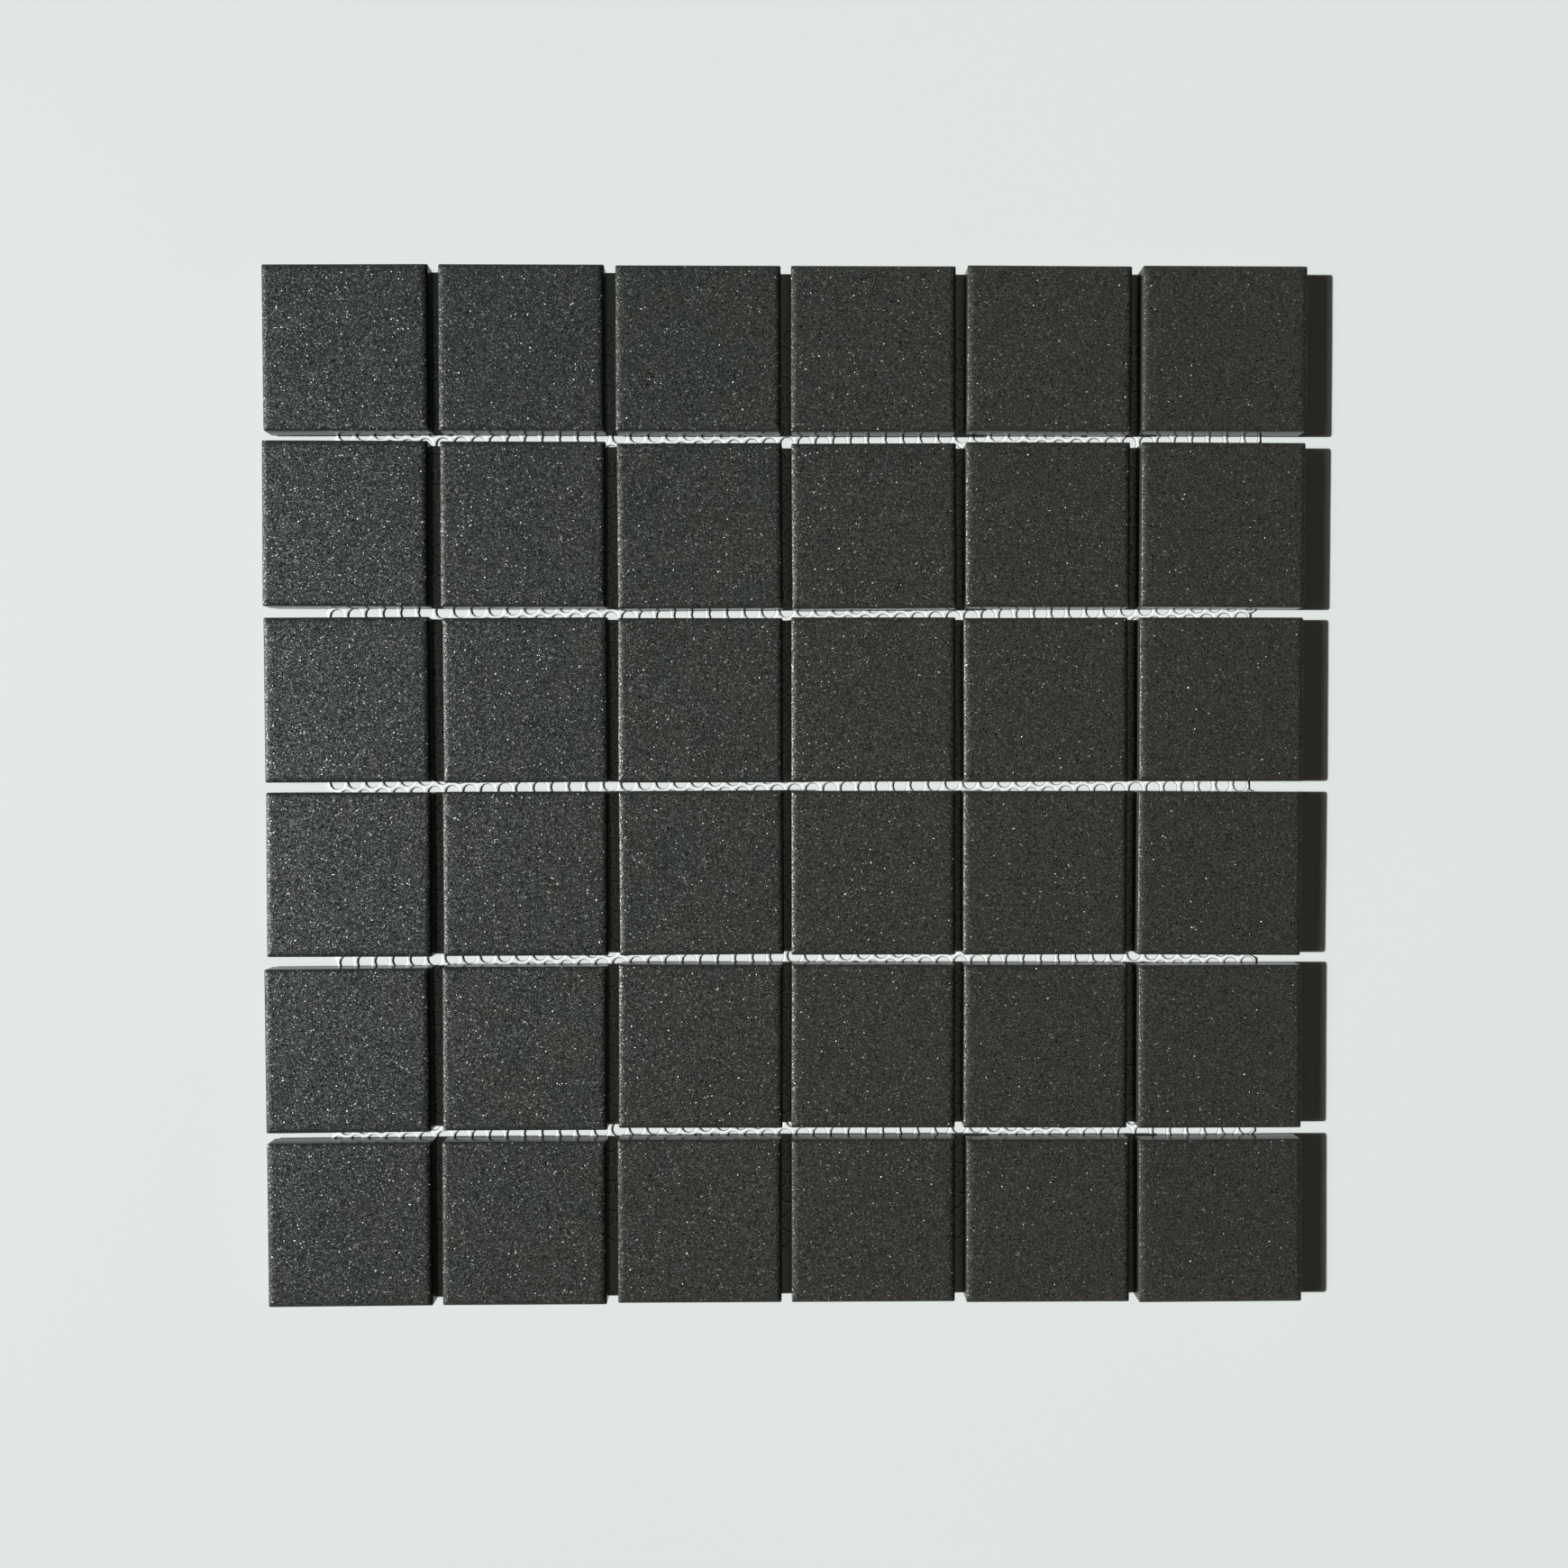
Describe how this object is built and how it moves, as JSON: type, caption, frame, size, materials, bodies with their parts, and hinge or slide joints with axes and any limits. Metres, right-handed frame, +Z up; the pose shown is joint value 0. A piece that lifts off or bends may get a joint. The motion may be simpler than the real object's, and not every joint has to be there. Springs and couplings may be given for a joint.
{
  "type": "mosaic tile sheet",
  "caption": "Square sheet of dark anti-slip porcelain mosaic tiles, held at even open joints by a white mesh net glued to their backs, ready to bed in adhesive and grout.",
  "frame": {"origin": "centre of the tile field at the net's underside, the plane that the sheet lies on", "axes": "+Z up, out of the tiles' faces; +X along the tile rows; +Y along the tile columns, away from the viewer"},
  "size_m": [0.3046, 0.304, 0.0063],
  "materials": {
    "porcelain": "unglazed, anti-slip, fine granular relief",
    "net": "white moulded mesh"
  },
  "bodies": {
    "root": {"tile_row1_col1": "porcelain", "tile_row1_col2": "porcelain", "tile_row1_col3": "porcelain", "tile_row1_col4": "porcelain", "tile_row1_col5": "porcelain", "tile_row1_col6": "porcelain", "tile_row2_col1": "porcelain", "tile_row2_col2": "porcelain", "tile_row2_col3": "porcelain", "tile_row2_col4": "porcelain", "tile_row2_col5": "porcelain", "tile_row2_col6": "porcelain", "tile_row3_col1": "porcelain", "tile_row3_col2": "porcelain", "tile_row3_col3": "porcelain", "tile_row3_col4": "porcelain", "tile_row3_col5": "porcelain", "tile_row3_col6": "porcelain", "tile_row4_col1": "porcelain", "tile_row4_col2": "porcelain", "tile_row4_col3": "porcelain", "tile_row4_col4": "porcelain", "tile_row4_col5": "porcelain", "tile_row4_col6": "porcelain", "tile_row5_col1": "porcelain", "tile_row5_col2": "porcelain", "tile_row5_col3": "porcelain", "tile_row5_col4": "porcelain", "tile_row5_col5": "porcelain", "tile_row5_col6": "porcelain", "tile_row6_col1": "porcelain", "tile_row6_col2": "porcelain", "tile_row6_col3": "porcelain", "tile_row6_col4": "porcelain", "tile_row6_col5": "porcelain", "tile_row6_col6": "porcelain", "net_band_1": "net", "net_band_2": "net", "net_band_3": "net", "net_band_4": "net", "net_band_5": "net"}
  },
  "joints": []
}
